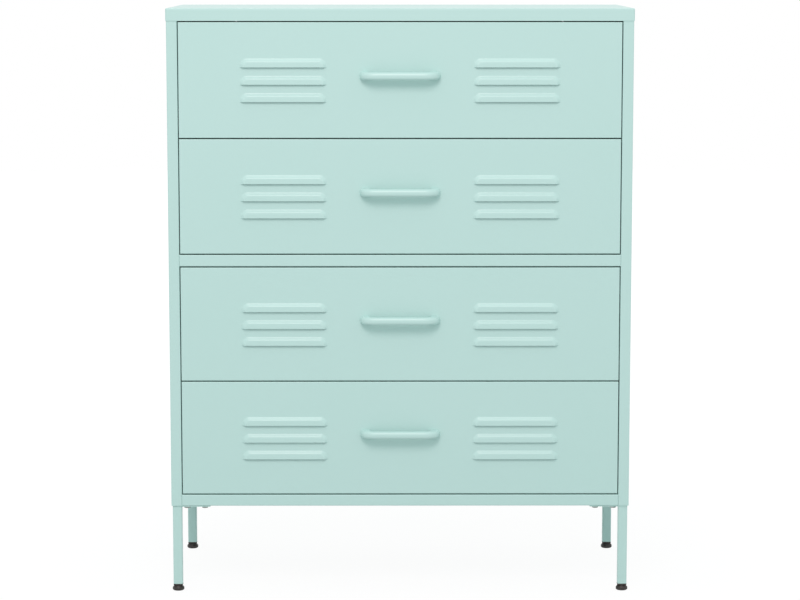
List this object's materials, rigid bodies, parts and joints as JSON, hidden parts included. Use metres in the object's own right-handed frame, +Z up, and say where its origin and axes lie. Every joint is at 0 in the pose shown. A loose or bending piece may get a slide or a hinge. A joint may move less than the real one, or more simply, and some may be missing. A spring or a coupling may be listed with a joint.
{
  "type": "metal drawer cabinet",
  "caption": "Narrow upright sheet-steel cabinet on square tube legs, with a column of louvred drawers on roller runners, bow grips and levelling feet.",
  "frame": {"origin": "on the floor under the middle of the whole outline, grips included", "axes": "+X to the right seen from the front, +Y from the drawer fronts to the back, +Z up"},
  "size_m": [0.8, 0.371, 1.015],
  "materials": {
    "mint_powder_coat": "satin powder coat on sheet steel, pale mint",
    "zinc_plated_steel": "bright zinc plating",
    "white_nylon": "moulded nylon, satin",
    "black_plastic": "moulded polypropylene, matt"
  },
  "bodies": {
    "case": {"top_cap": "mint_powder_coat", "side_panel_left": "mint_powder_coat", "side_panel_right": "mint_powder_coat", "back_panel": "mint_powder_coat", "bottom_panel": "mint_powder_coat", "mid_rail": "mint_powder_coat", "leg_front_left": "mint_powder_coat", "leg_front_right": "mint_powder_coat", "leg_back_left": "mint_powder_coat", "leg_back_right": "mint_powder_coat", "leg_bolts": "zinc_plated_steel", "weld_nuts": "zinc_plated_steel", "leg_inserts": "black_plastic", "pop_rivets": "zinc_plated_steel", "runner_screws": "zinc_plated_steel", "case_runners_1": "zinc_plated_steel", "case_runners_2": "zinc_plated_steel", "case_runners_3": "zinc_plated_steel", "case_runners_4": "zinc_plated_steel"},
    "drawer_1": {"drawer_1_front": "mint_powder_coat", "drawer_1_tray": "mint_powder_coat", "drawer_1_handle": "mint_powder_coat", "drawer_1_runners": "zinc_plated_steel", "drawer_1_screws": "zinc_plated_steel"},
    "front_rollers_1": {"front_rollers_1": "white_nylon"},
    "rear_rollers_1": {"drawer_1_rear_rollers": "white_nylon"},
    "drawer_2": {"drawer_2_front": "mint_powder_coat", "drawer_2_tray": "mint_powder_coat", "drawer_2_handle": "mint_powder_coat", "drawer_2_runners": "zinc_plated_steel", "drawer_2_screws": "zinc_plated_steel"},
    "front_rollers_2": {"front_rollers_2": "white_nylon"},
    "rear_rollers_2": {"drawer_2_rear_rollers": "white_nylon"},
    "drawer_3": {"drawer_3_front": "mint_powder_coat", "drawer_3_tray": "mint_powder_coat", "drawer_3_handle": "mint_powder_coat", "drawer_3_runners": "zinc_plated_steel", "drawer_3_screws": "zinc_plated_steel"},
    "front_rollers_3": {"front_rollers_3": "white_nylon"},
    "rear_rollers_3": {"drawer_3_rear_rollers": "white_nylon"},
    "drawer_4": {"drawer_4_front": "mint_powder_coat", "drawer_4_tray": "mint_powder_coat", "drawer_4_handle": "mint_powder_coat", "drawer_4_runners": "zinc_plated_steel", "drawer_4_screws": "zinc_plated_steel"},
    "front_rollers_4": {"front_rollers_4": "white_nylon"},
    "rear_rollers_4": {"drawer_4_rear_rollers": "white_nylon"},
    "foot_front_left": {"foot_base_front_left": "black_plastic", "foot_stud_front_left": "zinc_plated_steel"},
    "foot_front_right": {"foot_base_front_right": "black_plastic", "foot_stud_front_right": "zinc_plated_steel"},
    "foot_back_left": {"foot_base_back_left": "black_plastic", "foot_stud_back_left": "zinc_plated_steel"},
    "foot_back_right": {"foot_base_back_right": "black_plastic", "foot_stud_back_right": "zinc_plated_steel"}
  },
  "joints": [
    {"name": "drawer_1_slide", "type": "slide", "parent": "case", "child": "drawer_1", "axis": [0, -1, 0], "range_m": [0, 0.24]},
    {"name": "front_rollers_1_spin", "type": "hinge", "parent": "case", "child": "front_rollers_1", "pos_m": [0, -0.1345, 0.8179], "axis": [1, 0, 0], "range_deg": [0, 1720]},
    {"name": "rear_rollers_1_spin", "type": "hinge", "parent": "drawer_1", "child": "rear_rollers_1", "pos_m": [0, 0.1438, 0.8162], "axis": [1, 0, 0], "range_deg": [0, 1720]},
    {"name": "drawer_2_slide", "type": "slide", "parent": "case", "child": "drawer_2", "axis": [0, -1, 0], "range_m": [0, 0.24]},
    {"name": "front_rollers_2_spin", "type": "hinge", "parent": "case", "child": "front_rollers_2", "pos_m": [0, -0.1345, 0.6184], "axis": [1, 0, 0], "range_deg": [0, 1720]},
    {"name": "rear_rollers_2_spin", "type": "hinge", "parent": "drawer_2", "child": "rear_rollers_2", "pos_m": [0, 0.1438, 0.6167], "axis": [1, 0, 0], "range_deg": [0, 1720]},
    {"name": "drawer_3_slide", "type": "slide", "parent": "case", "child": "drawer_3", "axis": [0, -1, 0], "range_m": [0, 0.24]},
    {"name": "front_rollers_3_spin", "type": "hinge", "parent": "case", "child": "front_rollers_3", "pos_m": [0, -0.1345, 0.3969], "axis": [1, 0, 0], "range_deg": [0, 1720]},
    {"name": "rear_rollers_3_spin", "type": "hinge", "parent": "drawer_3", "child": "rear_rollers_3", "pos_m": [0, 0.1438, 0.3952], "axis": [1, 0, 0], "range_deg": [0, 1720]},
    {"name": "drawer_4_slide", "type": "slide", "parent": "case", "child": "drawer_4", "axis": [0, -1, 0], "range_m": [0, 0.24]},
    {"name": "front_rollers_4_spin", "type": "hinge", "parent": "case", "child": "front_rollers_4", "pos_m": [0, -0.1345, 0.1974], "axis": [1, 0, 0], "range_deg": [0, 1720]},
    {"name": "rear_rollers_4_spin", "type": "hinge", "parent": "drawer_4", "child": "rear_rollers_4", "pos_m": [0, 0.1438, 0.1957], "axis": [1, 0, 0], "range_deg": [0, 1720]},
    {"name": "foot_front_left_height", "type": "slide", "parent": "case", "child": "foot_front_left", "axis": [0, 0, -1], "range_m": [0, 0.01]},
    {"name": "foot_front_right_height", "type": "slide", "parent": "case", "child": "foot_front_right", "axis": [0, 0, -1], "range_m": [0, 0.01]},
    {"name": "foot_back_left_height", "type": "slide", "parent": "case", "child": "foot_back_left", "axis": [0, 0, -1], "range_m": [0, 0.01]},
    {"name": "foot_back_right_height", "type": "slide", "parent": "case", "child": "foot_back_right", "axis": [0, 0, -1], "range_m": [0, 0.01]}
  ],
  "couplings": [
    {"joint": "front_rollers_1_spin", "follows": "drawer_1_slide", "rad_per_m": 125},
    {"joint": "rear_rollers_1_spin", "follows": "drawer_1_slide", "rad_per_m": 125},
    {"joint": "front_rollers_2_spin", "follows": "drawer_2_slide", "rad_per_m": 125},
    {"joint": "rear_rollers_2_spin", "follows": "drawer_2_slide", "rad_per_m": 125},
    {"joint": "front_rollers_3_spin", "follows": "drawer_3_slide", "rad_per_m": 125},
    {"joint": "rear_rollers_3_spin", "follows": "drawer_3_slide", "rad_per_m": 125},
    {"joint": "front_rollers_4_spin", "follows": "drawer_4_slide", "rad_per_m": 125},
    {"joint": "rear_rollers_4_spin", "follows": "drawer_4_slide", "rad_per_m": 125}
  ]
}
